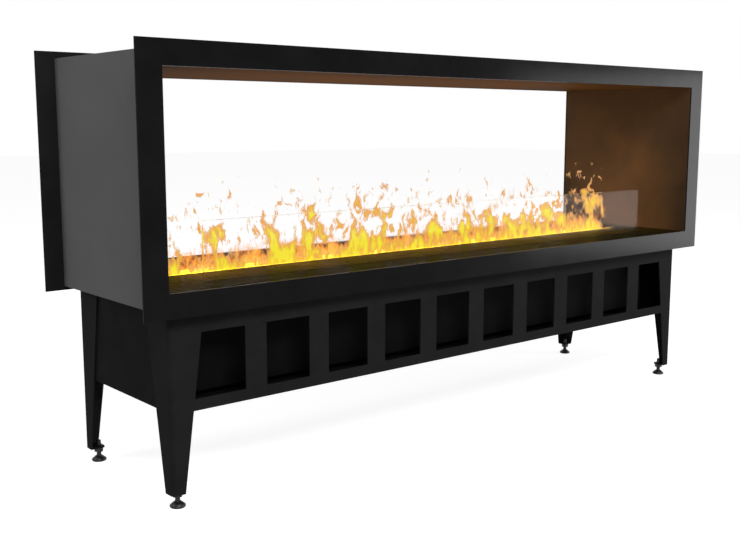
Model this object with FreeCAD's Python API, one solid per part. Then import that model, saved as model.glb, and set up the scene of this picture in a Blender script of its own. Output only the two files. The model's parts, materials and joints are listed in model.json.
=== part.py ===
import FreeCAD, Part
import math
import os

# See-through fireplace on a vented pedestal, in millimetres.
# The origin is on the floor at the centre, the front faces -Y, +Z is up.
V = FreeCAD.Vector

# Tunnel and its two face frames
FRAME_WIDTH = 1700.0
FRAME_HEIGHT = 484.0
FRAME_BOTTOM = 364.0
DEPTH = 430.0
STILE = 50.0
RAIL = 46.0
TRIM_SHEET = 3.0
SHEET = 2.0
SHEET_BEND = 1.0
WALL_THICK = 10.0
ROOF_DROP = 14.0
ROOF_LIP = 20.0
PAN_RISE = 8.0

# Pedestal
PEDESTAL_SHEET = 3.0
PEDESTAL_INSET = 60.0
PEDESTAL_RECESS = 27.0
LEG_BOTTOM = 28.0
LEG_BEND = 6.0
LEG_FRONT_FOOT = 27.0
LEG_FRONT_TOP = 74.0
LEG_SIDE_FOOT = 28.0
LEG_SIDE_TOP = 86.0
VENT_HEIGHT = 190.0
VENT_FLANGE = 20.0
VENT_BEND = 1.5
WINDOWS = 10
MULLION = 48.0
SILL = 22.0
HEAD = 44.0
BASE_SIDE_HEIGHT = 190.0
BASE_SIDE_HEM = 12.0
CORD_HOLE = 16.0

# Levelling feet
FOOT_OFFSET = 20.0
PLATE_EDGE = 4.0
PLATE_THICK = 5.0
STEM_RADIUS = 5.0
STEM_ABOVE_PLATE = 11.0
PAD_RADIUS = 15.0
PAD_RIM = 4.0
PAD_HEIGHT = 11.0
PAD_NECK = 6.5
PAD_CHAMFER = 1.0
NUT_FLATS = 17.0
NUT_HEIGHT = 8.0

# Vapour cassette
CASE_END_SPACE = 65.0
CASE_TRAY_GAP = 10.0
CASE_HALF_DEPTH = 120.0
CASE_FLANGE = 28.0
CASE_CLEARANCE = 6.5
SLOT_END_SPACE = 78.0
SLOT_HALF_WIDTH = 24.0
DECK_END = 23.5
DECK_REST = 16.5
DECK_GAP = 0.5
BEARER_FOOT = 20.0
BEARER_LEDGE = 26.0
LIGHT_END_GAP = 4.0
LIGHT_DEPTH = 18.0
LIGHT_HEIGHT = 10.0
GROOVE_DEPTH = 6.0
GROOVE_LIP = 3.0
DIFFUSER_THICK = 3.0
BAFFLE_SHEET = 1.6
BAFFLE_SHELF_MARGIN = 4.0
BAFFLE_SKIRT = 14.0
BAFFLE_DROP = 10.0
DIVIDER_DROP = 2.0
SUMP_HALF_DEPTH = 80.0
SUMP_HEIGHT = 64.0
SUMP_CORNER = 10.0
TRANSDUCERS = 6
TRANSDUCER_RADIUS = 22.0
TRANSDUCER_LEDGE = 5.0
TRANSDUCER_BASE = 4.0
TRANSDUCER_HEIGHT = 15.0
TRANSDUCER_DISH = 3.5

# Fans
FAN_NAMES = ("left", "middle", "right")
FAN_SIDE = 80.0
FAN_CORNER = 4.0
FAN_DEPTH = 25.0
FAN_BELOW_BAFFLE = 6.0
FAN_RIM = 3.0
FAN_HUB = 15.0
FAN_TIP_GAP = 1.5
FAN_SHAFT = 1.5
FAN_BOSS_INSET = 1.0
FAN_BOSS = 4.0
FAN_END_SPACE = 4.0
FAN_STRUT_WIDTH = 4.0
FAN_STRUT_THICK = 3.0
FAN_STRUTS = 3
FAN_HOLE = 2.2
FAN_HOLE_INSET = 4.5
FAN_BLADES = 7
FAN_BLADE_ROOT = 2.0
FAN_CHORD = 17.0
FAN_ROOT_PITCH = 52.0
FAN_TIP_PITCH = 24.0
FAN_BLADE_THICK = 1.6

# Water tank, filler and float
TANK_LENGTH = 274.0
TANK_END_GAP = 4.0
TANK_SIDE_GAP = 10.0
TANK_BELOW_BAFFLE = 4.0
TANK_CORNER = 12.0
DIVIDER_TANK_GAP = 3.0
FILLER_FROM_END = 84.0
NECK_RADIUS = 17.0
NECK_WALL = 2.5
NECK_BELOW_FLOOR = 22.0
PLUG_RIM = 3.0
PLUG_DEPTH = 12.0
PLUG_HEAD = 4.0
PLUG_CLEARANCE = 1.5
HATCH_LENGTH = 70.0
HATCH_DEPTH = 46.0
FLAP_LAP = 5.0
FLAP_SHEET = 1.5
FINGER_HOLE = 7.0
FINGER_HOLE_OFFSET = 8.0
HINGE_RADIUS = 2.5
HINGE_PIN = 1.25
HINGE_KNUCKLE = 14.0
HINGE_LEAF = 6.0
HINGE_SADDLE = 1.5
FLOAT_FROM_END = 55.0
FLOAT_RADIUS = 16.0
FLOAT_HEIGHT = 22.0
FLOAT_BELOW_LID = 24.0
GUIDE_RADIUS = 3.0
FEED_RADIUS = 6.0
FEED_WALL = 1.5
FEED_RISE = 16.0
FEED_END = 6.0

# Controls
BOX_LENGTH = 140.0
BOX_END_GAP = 11.0
BOX_HALF_DEPTH = 70.0
BOX_HEIGHT = 86.0
BOX_CORNER = 5.0
BOX_DIVIDER_GAP = 20.0
LID_RIM = 6.0
BOARD_SHEET = 1.6
BOARD_MARGIN = 8.0
POST_RADIUS = 4.0
POST_HEIGHT = 10.0
POST_INSET = 14.0
COMPONENT_INSET = 14.0
TRANSFORMER_LENGTH = 40.0
TRANSFORMER_HALF_DEPTH = 25.0
TRANSFORMER_HEIGHT = 34.0
RELAYS = 3
RELAY_LENGTH = 16.0
RELAY_DEPTH = 18.0
RELAY_HEIGHT = 15.0
CONTROLS_BELOW_TOP = 64.0
BEZEL = 2.0
INLET_Y = -40.0
INLET_WIDE = 27.0
INLET_HIGH = 20.0
INLET_LIP = 3.5
INLET_LONG = 22.0
INLET_WALL = 2.5
INLET_BACK = 5.0
CONTACT_SPACING = 7.0
CONTACT_WIDE = 2.0
CONTACT_HIGH = 4.0
CONTACT_RISE = 2.0
CONTACT_LONG = 15.0
SWITCH_Y = 20.0
SWITCH_WIDE = 13.0
SWITCH_HIGH = 19.0
SWITCH_LIP = 2.5
SWITCH_LONG = 20.0
SWITCH_WALL = 1.5
SWITCH_BACK = 6.0
ROCKER_END_GAP = 1.2
ROCKER_CREST = 4.5
ROCKER_WAIST = 2.8
ROCKER_SHOULDER = 3.0
ROCKER_BACK = 7.0
ROCKER_PIVOT = 1.2
ROCKER_TILT = 9.0

# Glass screens
GLASS_SETBACK = 80.0
GLASS_END_SPACE = 116.0
GLASS_THICK = 6.0
GLASS_HEIGHT = 116.0
GLASS_CHAMFER = 0.8
CHANNEL_OVERRUN = 2.0
CHANNEL_WALL = 2.4
CHANNEL_BASE = 3.0
CHANNEL_DEPTH = 12.0

# Fasteners
FASTENERS_A_SIDE = 4
SCREW_RADIUS = 2.5
SCREW_HEAD = 4.5
SCREW_HEAD_HEIGHT = 3.0
SCREW_EDGE = 10.0
BOLT_RADIUS = 3.0
BOLT_HEAD = 5.0
BOLT_HEAD_HEIGHT = 4.0
BOLT_NUT_FLATS = 10.0
BOLT_NUT_HEIGHT = 5.0
THREAD_END = 3.0

# Clearances
MOVING_GAP = 0.3
RUNNING_GAP = 0.05
SEAT_GAP = 0.1
HOLE_GAP = 0.2
CUT = 1.0

# Levels and planes of the shell and pedestal
FRAME_TOP = FRAME_BOTTOM + FRAME_HEIGHT
HALF_WIDTH = FRAME_WIDTH / 2
FACE = DEPTH / 2
TUNNEL = FACE - TRIM_SHEET
OPENING = HALF_WIDTH - STILE
FLOOR = FRAME_BOTTOM + RAIL
CEILING = FRAME_TOP - RAIL
SKIN = OPENING + WALL_THICK
SKIN_IN = SKIN - SHEET
SKIN_TOP = FRAME_TOP - ROOF_DROP
SKIN_BOTTOM = FRAME_BOTTOM + PAN_RISE
PAN_TOP = SKIN_BOTTOM + SHEET
UNDERFLOOR = FLOOR - SHEET
PEDESTAL_X = HALF_WIDTH - PEDESTAL_INSET
PEDESTAL_Y = FACE - PEDESTAL_RECESS
LEG_CORNER = LEG_BEND + PEDESTAL_SHEET
VENT_INNER = PEDESTAL_Y - PEDESTAL_SHEET
VENT_BOTTOM = SKIN_BOTTOM - VENT_HEIGHT
WINDOW_LOW = VENT_BOTTOM + SILL
WINDOW_HIGH = SKIN_BOTTOM - HEAD
BASE_SIDE_OUTER = PEDESTAL_X - PEDESTAL_SHEET
BASE_SIDE_INNER = BASE_SIDE_OUTER - SHEET
BASE_SIDE_DEEP = PEDESTAL_Y - LEG_CORNER - MOVING_GAP
BASE_SIDE_BOTTOM = SKIN_BOTTOM - BASE_SIDE_HEIGHT
TRAY_TOP = BASE_SIDE_BOTTOM + 2 * SHEET
FOOT_X = PEDESTAL_X - FOOT_OFFSET
FOOT_Y = PEDESTAL_Y - FOOT_OFFSET

# Levels and planes of the cassette
CASE_BOTTOM = TRAY_TOP + CASE_TRAY_GAP
CASE_FLOOR = CASE_BOTTOM + SHEET
CASE_TOP = PAN_TOP + SHEET
CASE_HALF_LENGTH = OPENING - CASE_END_SPACE
CASE_IN_X = CASE_HALF_LENGTH - SHEET
CASE_IN_Y = CASE_HALF_DEPTH - SHEET
PAN_HOLE_X = CASE_HALF_LENGTH + CASE_CLEARANCE
PAN_HOLE_Y = CASE_HALF_DEPTH + CASE_CLEARANCE
SLOT_HALF_LENGTH = OPENING - SLOT_END_SPACE
SLOT_LIP = SLOT_HALF_WIDTH - DIFFUSER_THICK
DECK_HALF_LENGTH = SLOT_HALF_LENGTH + DECK_END
DECK_HALF_DEPTH = PAN_HOLE_Y - DECK_REST
LIGHT_HALF_LENGTH = SLOT_HALF_LENGTH - LIGHT_END_GAP
LIGHT_BACK = SLOT_HALF_WIDTH + LIGHT_DEPTH
LIGHT_BOTTOM = UNDERFLOOR - LIGHT_HEIGHT
BAFFLE_TOP = CASE_TOP - BAFFLE_DROP
BAFFLE_BOTTOM = BAFFLE_TOP - BAFFLE_SKIRT
TANK_RIGHT = CASE_IN_X - TANK_END_GAP
TANK_LEFT = TANK_RIGHT - TANK_LENGTH
TANK_HALF_DEPTH = CASE_IN_Y - TANK_SIDE_GAP
TANK_TOP = BAFFLE_BOTTOM - TANK_BELOW_BAFFLE
TANK_RIM = TANK_TOP - SHEET
BOX_LEFT = -CASE_IN_X + BOX_END_GAP
BOX_RIGHT = BOX_LEFT + BOX_LENGTH
BOX_TOP = CASE_FLOOR + BOX_HEIGHT
SUMP_LEFT = BOX_RIGHT + BOX_DIVIDER_GAP + SHEET
SUMP_RIGHT = TANK_LEFT - DIVIDER_TANK_GAP - SHEET
FAN_Z = BAFFLE_BOTTOM - FAN_BELOW_BAFFLE - FAN_SIDE / 2
FAN_FRONT = CASE_IN_Y - FAN_DEPTH
FAN_BORE = FAN_SIDE / 2 - FAN_RIM
FAN_TIP = FAN_BORE - FAN_TIP_GAP
HINGE_Y = DECK_HALF_DEPTH - HINGE_LEAF - HINGE_RADIUS - MOVING_GAP
HINGE_Z = FLOOR + HINGE_RADIUS + MOVING_GAP
FILLER_X = TANK_RIGHT - FILLER_FROM_END
FILLER_Y = HINGE_Y - HINGE_RADIUS - FLAP_LAP - HATCH_DEPTH / 2
HATCH_LEFT = FILLER_X - HATCH_LENGTH / 2
HATCH_RIGHT = FILLER_X + HATCH_LENGTH / 2
NECK_TOP = UNDERFLOOR - NECK_BELOW_FLOOR
NECK_BORE = NECK_RADIUS - NECK_WALL
PLUG_RADIUS = NECK_RADIUS + PLUG_RIM
FLOAT_X = TANK_LEFT + FLOAT_FROM_END
FLOAT_LOW = TANK_RIM - FLOAT_BELOW_LID - FLOAT_HEIGHT
FEED_Z = CASE_FLOOR + FEED_RISE
BOARD_LOW = CASE_FLOOR + SHEET + POST_HEIGHT
CONTROLS_Z = CASE_TOP - CONTROLS_BELOW_TOP
CONTROLS_FACE = -CASE_HALF_LENGTH
ROCKER_X = CONTROLS_FACE + BEZEL
GLASS_Y = FACE - GLASS_SETBACK
GLASS_HALF_LENGTH = OPENING - GLASS_END_SPACE
GLASS_SLOT = GLASS_THICK / 2 + MOVING_GAP
CHANNEL_HALF_LENGTH = GLASS_HALF_LENGTH + CHANNEL_OVERRUN
CHANNEL_SEAT = UNDERFLOOR - CHANNEL_DEPTH + CHANNEL_BASE
SCREW_Y = CASE_HALF_DEPTH + CASE_FLANGE - SCREW_EDGE
BOLT_Y = VENT_INNER - VENT_FLANGE / 2


# Shape helpers
PLANES = {
    "yz": lambda a, b, along: V(along, a, b),
    "xz": lambda a, b, along: V(a, along, b),
    "xy": lambda a, b, along: V(a, b, along),
}


def span(half):
    return (-half, half)


def around(middle, half):
    return (middle - half, middle + half)


def spread(count, low, high):
    """Places at equal spacing, half a space in from each end."""
    return [low + (i + 0.5) * (high - low) / count for i in range(count)]


def box(x, y, z):
    """Block between the low and high values given for each axis."""
    return Part.makeBox(x[1] - x[0], y[1] - y[0], z[1] - z[0], V(x[0], y[0], z[0]))


def rod(radius, start, end):
    """Cylinder between two points."""
    axis = V(*end) - V(*start)
    return Part.makeCylinder(radius, axis.Length, V(*start), axis)


def turned(outline, x, y, z):
    """Solid of revolution about an upright axis, from pairs of radius and height."""
    face = Part.Face(Part.makePolygon([V(x + r, y, z + h) for r, h in outline + outline[:1]]))
    return face.revolve(V(x, y, z), V(0, 0, 1), 360)


def extruded(outline, plane, along):
    """Solid with a flat outline in one plane, between two places along the third axis."""
    place = PLANES[plane]
    corners = [place(a, b, along[0]) for a, b in outline]
    push = place(0, 0, along[1]) - place(0, 0, along[0])
    return Part.Face(Part.makePolygon(corners + corners[:1])).extrude(push)


def folded(path, gauge, bend, plane, along):
    """Sheet that lies on the left of a path of flat stretches, with a round bend at each turn."""
    steps = [(b[0] - a[0], b[1] - a[1]) for a, b in zip(path, path[1:])]
    normals = [(-v / math.hypot(u, v), u / math.hypot(u, v)) for u, v in steps]
    far_side = []
    for (a, b), before, after in zip(path, normals[:1] + normals, normals + normals[-1:]):
        share = gauge / (1 + before[0] * after[0] + before[1] * after[1])
        far_side.append((a + share * (before[0] + after[0]), b + share * (before[1] + after[1])))
    sheet = extruded(path + far_side[::-1], plane, along)
    for i in range(1, len(path) - 1):
        left_turn = steps[i - 1][0] * steps[i][1] > steps[i - 1][1] * steps[i][0]
        near_radius = bend + gauge if left_turn else bend
        far_radius = bend if left_turn else bend + gauge
        for corner, radius in ((path[i], near_radius), (far_side[i], far_radius)):
            middle = PLANES[plane](*corner, sum(along) / 2)
            edges = [edge for edge in sheet.Edges if edge.CenterOfMass.isEqual(middle, SEAT_GAP)]
            sheet = sheet.makeFillet(radius, edges)
    return sheet


def moulded(x, y, z, corner, axis="Z"):
    """Block whose edges along one axis are rounded."""
    block = box(x, y, z)
    length = getattr(block.BoundBox, axis + "Length")
    edges = [edge for edge in block.Edges if getattr(edge.BoundBox, axis + "Length") > length / 2]
    return block.makeFillet(corner, edges)


def tub(x, y, z, wall, corner):
    """Moulded box that is open at the top."""
    inside = [(low + wall, high - wall) for low, high in (x, y)]
    return moulded(x, y, z, corner).cut(moulded(*inside, (z[0] + wall, z[1] + CUT), corner - wall))


def joined(shapes):
    """One solid from shapes that meet or overlap."""
    return shapes[0].multiFuse(shapes[1:]).removeSplitter()


def group(shapes):
    return Part.makeCompound(shapes)


def mirrored(shape, axis):
    return shape.mirror(V(0, 0, 0), V(1, 0, 0) if axis == "x" else V(0, 1, 0))


def both_sides(shape):
    """A front piece and its mirror image at the rear."""
    return group([shape, mirrored(shape, "y")])


def corners(shape):
    """A piece of the front left corner and its mirror images at the other three."""
    right = mirrored(shape, "x")
    return {"front_left": shape, "front_right": right,
            "rear_left": mirrored(shape, "y"), "rear_right": mirrored(right, "y")}


def hexagon_nut(x, y, low, high, flats, bore):
    reach = flats / math.sqrt(3)
    turns = [math.radians(60 * i) for i in range(6)]
    nut = extruded([(x + reach * math.cos(t), y + reach * math.sin(t)) for t in turns], "xy", (low, high))
    return nut.cut(rod(bore, (x, y, low - CUT), (x, y, high + CUT)))


# Fastener places and holes
def along_sides(y):
    """Fastener places along the front and rear of the cassette."""
    return [(x, side) for x in spread(FASTENERS_A_SIDE, *span(CASE_HALF_LENGTH)) for side in span(y)]


def drilled(sheet, places, radius):
    """A level sheet with clearance holes through it."""
    low, high = sheet.BoundBox.ZMin - CUT, sheet.BoundBox.ZMax + CUT
    return sheet.cut(group([rod(radius + HOLE_GAP, (x, y, low), (x, y, high)) for x, y in places]))


# Tunnel shell
def trim_frame():
    """Flat face frame around the front opening."""
    plate = box(span(HALF_WIDTH), (-FACE, -TUNNEL), (FRAME_BOTTOM, FRAME_TOP))
    return plate.cut(box(span(OPENING), (-FACE - CUT, -TUNNEL + CUT), (FLOOR, CEILING)))


def side_panel():
    """Flat outer wall on the left."""
    return box((-SKIN, -SKIN_IN), span(TUNNEL), (SKIN_BOTTOM, SKIN_TOP))


def roof_panel():
    """Outer roof with a lip turned down inside each outer wall."""
    lip = SKIN_TOP - ROOF_LIP
    path = [(SKIN_IN, lip), (SKIN_IN, SKIN_TOP), (-SKIN_IN, SKIN_TOP), (-SKIN_IN, lip)]
    return folded(path, SHEET, SHEET_BEND, "xz", span(TUNNEL))


def side_liner():
    """Inner wall on the left, its front and rear edges returned to the outer wall."""
    path = [(-SKIN_IN, -TUNNEL), (-OPENING, -TUNNEL), (-OPENING, TUNNEL), (-SKIN_IN, TUNNEL)]
    return folded(path, SHEET, SHEET_BEND, "xy", (FLOOR, CEILING))


def ceiling_liner():
    """Inner roof on the side liners, its front and rear edges returned up to the outer roof."""
    top = SKIN_TOP - SHEET
    path = [(-TUNNEL, top), (-TUNNEL, CEILING), (TUNNEL, CEILING), (TUNNEL, top)]
    return folded(path, SHEET, SHEET_BEND, "yz", span(SKIN_IN - SHEET - SHEET_BEND))


def base_pan():
    """Channel under the firebox, with a cut-out that the cassette hangs in."""
    path = [(-TUNNEL, UNDERFLOOR), (-TUNNEL, SKIN_BOTTOM), (TUNNEL, SKIN_BOTTOM), (TUNNEL, UNDERFLOOR)]
    pan = folded(path, SHEET, SHEET_BEND, "yz", span(SKIN_IN))
    pan = pan.cut(box(span(PAN_HOLE_X), span(PAN_HOLE_Y), (SKIN_BOTTOM - CUT, PAN_TOP + CUT)))
    return drilled(drilled(pan, along_sides(SCREW_Y), SCREW_RADIUS), along_sides(BOLT_Y), BOLT_RADIUS)


def firebox_floor():
    """Floor sheet with the cut-out that the slot deck lies in, and a slot for each pane."""
    plate = box(span(SKIN_IN), span(TUNNEL), (UNDERFLOOR, FLOOR))
    cut_z = (UNDERFLOOR - CUT, FLOOR + CUT)
    deck = box(span(DECK_HALF_LENGTH + DECK_GAP), span(DECK_HALF_DEPTH + DECK_GAP), cut_z)
    slots = [box(span(CHANNEL_HALF_LENGTH), around(y, GLASS_SLOT), cut_z) for y in (-GLASS_Y, GLASS_Y)]
    return plate.cut(group([deck] + slots))


def floor_bearer():
    """Z rail in front of the cassette that carries the floor's edge and the deck."""
    foot, ledge = -PAN_HOLE_Y - BEARER_FOOT, -PAN_HOLE_Y + BEARER_LEDGE
    step = UNDERFLOOR - SHEET
    path = [(foot, CASE_TOP), (-PAN_HOLE_Y, CASE_TOP), (-PAN_HOLE_Y, step), (ledge, step)]
    rail = folded(path, SHEET, SHEET_BEND, "yz", span(CASE_IN_X))
    return drilled(rail, along_sides(SCREW_Y), SCREW_RADIUS)


# Pedestal
def leg_edge(z):
    """Distance from the middle to a leg's slanted inner edge at a height."""
    rise = (z - LEG_BOTTOM) / (SKIN_BOTTOM - LEG_BOTTOM)
    return PEDESTAL_X - LEG_FRONT_FOOT - (LEG_FRONT_TOP - LEG_FRONT_FOOT) * rise


def leg():
    """Front left corner angle: one sheet folded round a bend, both flanges tapering to the foot."""
    x, y = -PEDESTAL_X, -PEDESTAL_Y
    path = [(x, y + LEG_SIDE_TOP), (x, y), (x + LEG_FRONT_TOP, y)]
    angle = folded(path, PEDESTAL_SHEET, LEG_BEND, "xy", (LEG_BOTTOM, SKIN_BOTTOM))

    for plane, start, foot, top, face in (("xz", x, LEG_FRONT_FOOT, LEG_FRONT_TOP, y),
                                          ("yz", y, LEG_SIDE_FOOT, LEG_SIDE_TOP, x)):
        taper = [(start + foot, LEG_BOTTOM), (start + top, SKIN_BOTTOM), (start + top, LEG_BOTTOM)]
        angle = angle.cut(extruded(taper, plane, (face - CUT, face + PEDESTAL_SHEET + CUT)))
    return angle


def vent_panel():
    """Front apron between the legs; its end windows run out to the legs' slanted edges."""
    outer, flange = -PEDESTAL_Y, -VENT_INNER + VENT_FLANGE
    path = [(flange, SKIN_BOTTOM), (outer, SKIN_BOTTOM), (outer, VENT_BOTTOM)]
    panel = folded(path, PEDESTAL_SHEET, VENT_BEND, "yz", span(PEDESTAL_X))
    through = (outer - CUT, flange + CUT)
    end = [(leg_edge(VENT_BOTTOM), VENT_BOTTOM), (leg_edge(SKIN_BOTTOM), SKIN_BOTTOM),
           (PEDESTAL_X, SKIN_BOTTOM), (PEDESTAL_X, VENT_BOTTOM)]
    pitch = (2 * leg_edge((WINDOW_LOW + WINDOW_HIGH) / 2) + MULLION) / WINDOWS
    starts = [(i - WINDOWS / 2) * pitch + MULLION / 2 for i in range(WINDOWS)]
    height = (WINDOW_LOW, WINDOW_HIGH)
    windows = [box((start, start + pitch - MULLION), through, height) for start in starts[1:-1]]
    ends = [extruded(end, "xz", through), box((starts[-1], PEDESTAL_X), through, height)]
    panel = panel.cut(group(windows + ends + [mirrored(shape, "x") for shape in ends]))
    return drilled(panel, along_sides(BOLT_Y), BOLT_RADIUS)


def base_side_panel():
    """Closed left side of the pedestal, inside the legs' side flanges, hemmed above and below."""
    outer, hem = -BASE_SIDE_OUTER, -BASE_SIDE_INNER + BASE_SIDE_HEM
    path = [(hem, SKIN_BOTTOM), (outer, SKIN_BOTTOM), (outer, BASE_SIDE_BOTTOM), (hem, BASE_SIDE_BOTTOM)]
    return folded(path, SHEET, SHEET_BEND, "xz", span(BASE_SIDE_DEEP))


def base_tray():
    """Bottom of the pedestal on the side panels' hems, notched round the legs, with a hole for a cord."""
    z = (BASE_SIDE_BOTTOM + SHEET, TRAY_TOP)
    cut_z = (z[0] - CUT, z[1] + CUT)
    plate = box(span(BASE_SIDE_INNER - SHEET_BEND), span(VENT_INNER), z)
    notch_edge = -BASE_SIDE_OUTER + LEG_BEND + MOVING_GAP
    notch = box((-PEDESTAL_X, notch_edge), (-PEDESTAL_Y, -BASE_SIDE_DEEP), cut_z)
    middle = -(CASE_HALF_LENGTH + BASE_SIDE_INNER) / 2
    cord_hole = rod(CORD_HOLE, (middle, INLET_Y, cut_z[0]), (middle, INLET_Y, cut_z[1]))
    return plate.cut(group(list(corners(notch).values()) + [cord_hole]))


# Levelling feet
def foot_plate():
    """Plate welded inside the front left leg's lower end, bored for the foot's stem."""
    near, reach = PEDESTAL_SHEET, FOOT_OFFSET + STEM_RADIUS + PLATE_EDGE
    outline = [(near, LEG_CORNER), (LEG_CORNER, near), (reach, near),
               (reach, reach), (near, reach)]
    outline = [(a - PEDESTAL_X, b - PEDESTAL_Y) for a, b in outline]
    plate = extruded(outline, "xy", (LEG_BOTTOM, LEG_BOTTOM + PLATE_THICK))
    return plate.cut(rod(STEM_RADIUS + RUNNING_GAP, (-FOOT_X, -FOOT_Y, 0), (-FOOT_X, -FOOT_Y, FRAME_BOTTOM)))


def lock_nut():
    low, bore = LEG_BOTTOM - NUT_HEIGHT, STEM_RADIUS + RUNNING_GAP
    return hexagon_nut(-FOOT_X, -FOOT_Y, low, LEG_BOTTOM, NUT_FLATS, bore)


def glide():
    """Turned foot of the front left leg: conical pad and stem in one piece."""
    top = LEG_BOTTOM + PLATE_THICK + STEM_ABOVE_PLATE
    outline = [(0, 0), (PAD_RADIUS - PAD_CHAMFER, 0), (PAD_RADIUS, PAD_CHAMFER), (PAD_RADIUS, PAD_RIM),
               (PAD_NECK, PAD_HEIGHT), (STEM_RADIUS, PAD_HEIGHT), (STEM_RADIUS, top), (0, top)]
    return turned(outline, -FOOT_X, -FOOT_Y, 0)


# Cassette casing
def fan_places():
    return dict(zip(FAN_NAMES, spread(len(FAN_NAMES), SUMP_LEFT, SUMP_RIGHT)))


def controls_block(x, y, half_y, half_z):
    """Block on the casing's left end, at the height of the controls."""
    return box(x, around(y, half_y), around(CONTROLS_Z, half_z))


def cassette_casing():
    """Trough that hangs by its two flanges, with air holes behind the fans."""
    y, flange = CASE_HALF_DEPTH, CASE_HALF_DEPTH + CASE_FLANGE
    path = [(-flange, PAN_TOP), (-y, PAN_TOP), (-y, CASE_BOTTOM),
            (y, CASE_BOTTOM), (y, PAN_TOP), (flange, PAN_TOP)]
    trough = folded(path, SHEET, SHEET_BEND, "yz", span(CASE_HALF_LENGTH))
    air_holes = [rod(FAN_BORE, (x, CASE_IN_Y - CUT, FAN_Z), (x, CASE_HALF_DEPTH + CUT, FAN_Z))
                 for x in fan_places().values()]
    return drilled(trough.cut(group(air_holes)), along_sides(SCREW_Y), SCREW_RADIUS)


def casing_end():
    """Flanged plate that closes the trough's right end."""
    x, low = CASE_HALF_LENGTH, CASE_FLOOR + SHEET_BEND
    path = [(x, low), (x, PAN_TOP), (x + CASE_FLANGE, PAN_TOP)]
    return folded(path, SHEET, SHEET_BEND, "xz", span(CASE_IN_Y))


def casing_ends():
    """Both ends; the left one has cut-outs for the inlet and the switch."""
    wall = (CONTROLS_FACE - CUT, -CASE_IN_X + CUT)
    seats = [controls_block(wall, y, wide / 2 + SEAT_GAP, high / 2 + SEAT_GAP)
             for y, wide, high in ((INLET_Y, INLET_WIDE, INLET_HIGH), (SWITCH_Y, SWITCH_WIDE, SWITCH_HIGH))]
    return group([mirrored(casing_end(), "x").cut(group(seats)), casing_end()])


def feed_hole(x, radius):
    return rod(radius, (x - CUT, 0, FEED_Z), (x + SHEET + CUT, 0, FEED_Z))


def bay_dividers():
    """Walls across the casing that part the sump from the controls and from the tank."""
    z = (CASE_FLOOR + SHEET_BEND, BAFFLE_BOTTOM - DIVIDER_DROP)
    left, right = [box((x, x + SHEET), span(CASE_IN_Y), z) for x in (SUMP_LEFT - SHEET, SUMP_RIGHT)]
    return group([left, right.cut(feed_hole(SUMP_RIGHT, FEED_RADIUS + SEAT_GAP))])


# Vapour and light
def sump_tray():
    """Shallow trough that the vapour rises from."""
    height = (CASE_FLOOR, CASE_FLOOR + SUMP_HEIGHT)
    tray = tub((SUMP_LEFT, SUMP_RIGHT), span(SUMP_HALF_DEPTH), height, SHEET, SUMP_CORNER)
    return tray.cut(feed_hole(SUMP_RIGHT - SHEET, FEED_RADIUS))


def transducer(x):
    """Round ultrasonic nebuliser with a dished membrane on top."""
    body = TRANSDUCER_RADIUS - TRANSDUCER_LEDGE
    dish = TRANSDUCER_HEIGHT - TRANSDUCER_DISH
    outline = [(0, 0), (TRANSDUCER_RADIUS, 0), (TRANSDUCER_RADIUS, TRANSDUCER_BASE), (body, TRANSDUCER_BASE),
               (body, TRANSDUCER_HEIGHT), (body - TRANSDUCER_DISH, TRANSDUCER_HEIGHT),
               (body - 2 * TRANSDUCER_DISH, dish), (0, dish)]
    return turned(outline, x, 0, CASE_FLOOR + SHEET)


def mist_baffle():
    """Front sheet that leads the vapour up to the slot and carries the light bar on its shelf."""
    shelf = LIGHT_BACK + BAFFLE_SHELF_MARGIN
    path = [(-SLOT_LIP, LIGHT_BOTTOM), (-shelf, LIGHT_BOTTOM),
            (-CASE_IN_Y, BAFFLE_TOP), (-CASE_IN_Y, BAFFLE_BOTTOM)]
    return folded(path, BAFFLE_SHEET, SHEET_BEND, "yz", span(LIGHT_HALF_LENGTH))


def rear_mist_baffle():
    """Rear baffle, with a hole that the filler neck and its plug pass through."""
    hole = rod(PLUG_RADIUS + PLUG_CLEARANCE, (FILLER_X, FILLER_Y, BAFFLE_BOTTOM), (FILLER_X, FILLER_Y, FLOOR))
    return mirrored(mist_baffle(), "y").cut(hole)


def light_bar():
    """Front light profile with a groove that faces the slot."""
    face, back, deep = -SLOT_HALF_WIDTH, -LIGHT_BACK, -SLOT_HALF_WIDTH - GROOVE_DEPTH
    low, high = LIGHT_BOTTOM + GROOVE_LIP, UNDERFLOOR - GROOVE_LIP
    outline = [(face, LIGHT_BOTTOM), (face, low), (deep, low), (deep, high), (face, high), (face, UNDERFLOOR),
               (back, UNDERFLOOR), (back, LIGHT_BOTTOM)]
    return extruded(outline, "yz", span(LIGHT_HALF_LENGTH))


def light_diffuser():
    """Front strip that lines the slot's edge, its tongue in the light bar's groove."""
    face, tongue = -SLOT_HALF_WIDTH, -SLOT_HALF_WIDTH - GROOVE_DEPTH + SEAT_GAP
    low, high = LIGHT_BOTTOM + GROOVE_LIP + SEAT_GAP, UNDERFLOOR - GROOVE_LIP - SEAT_GAP
    outline = [(-SLOT_LIP, LIGHT_BOTTOM), (-SLOT_LIP, FLOOR), (face, FLOOR), (face, high), (tongue, high),
               (tongue, low), (face, low), (face, LIGHT_BOTTOM)]
    return extruded(outline, "yz", span(LIGHT_HALF_LENGTH))


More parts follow.
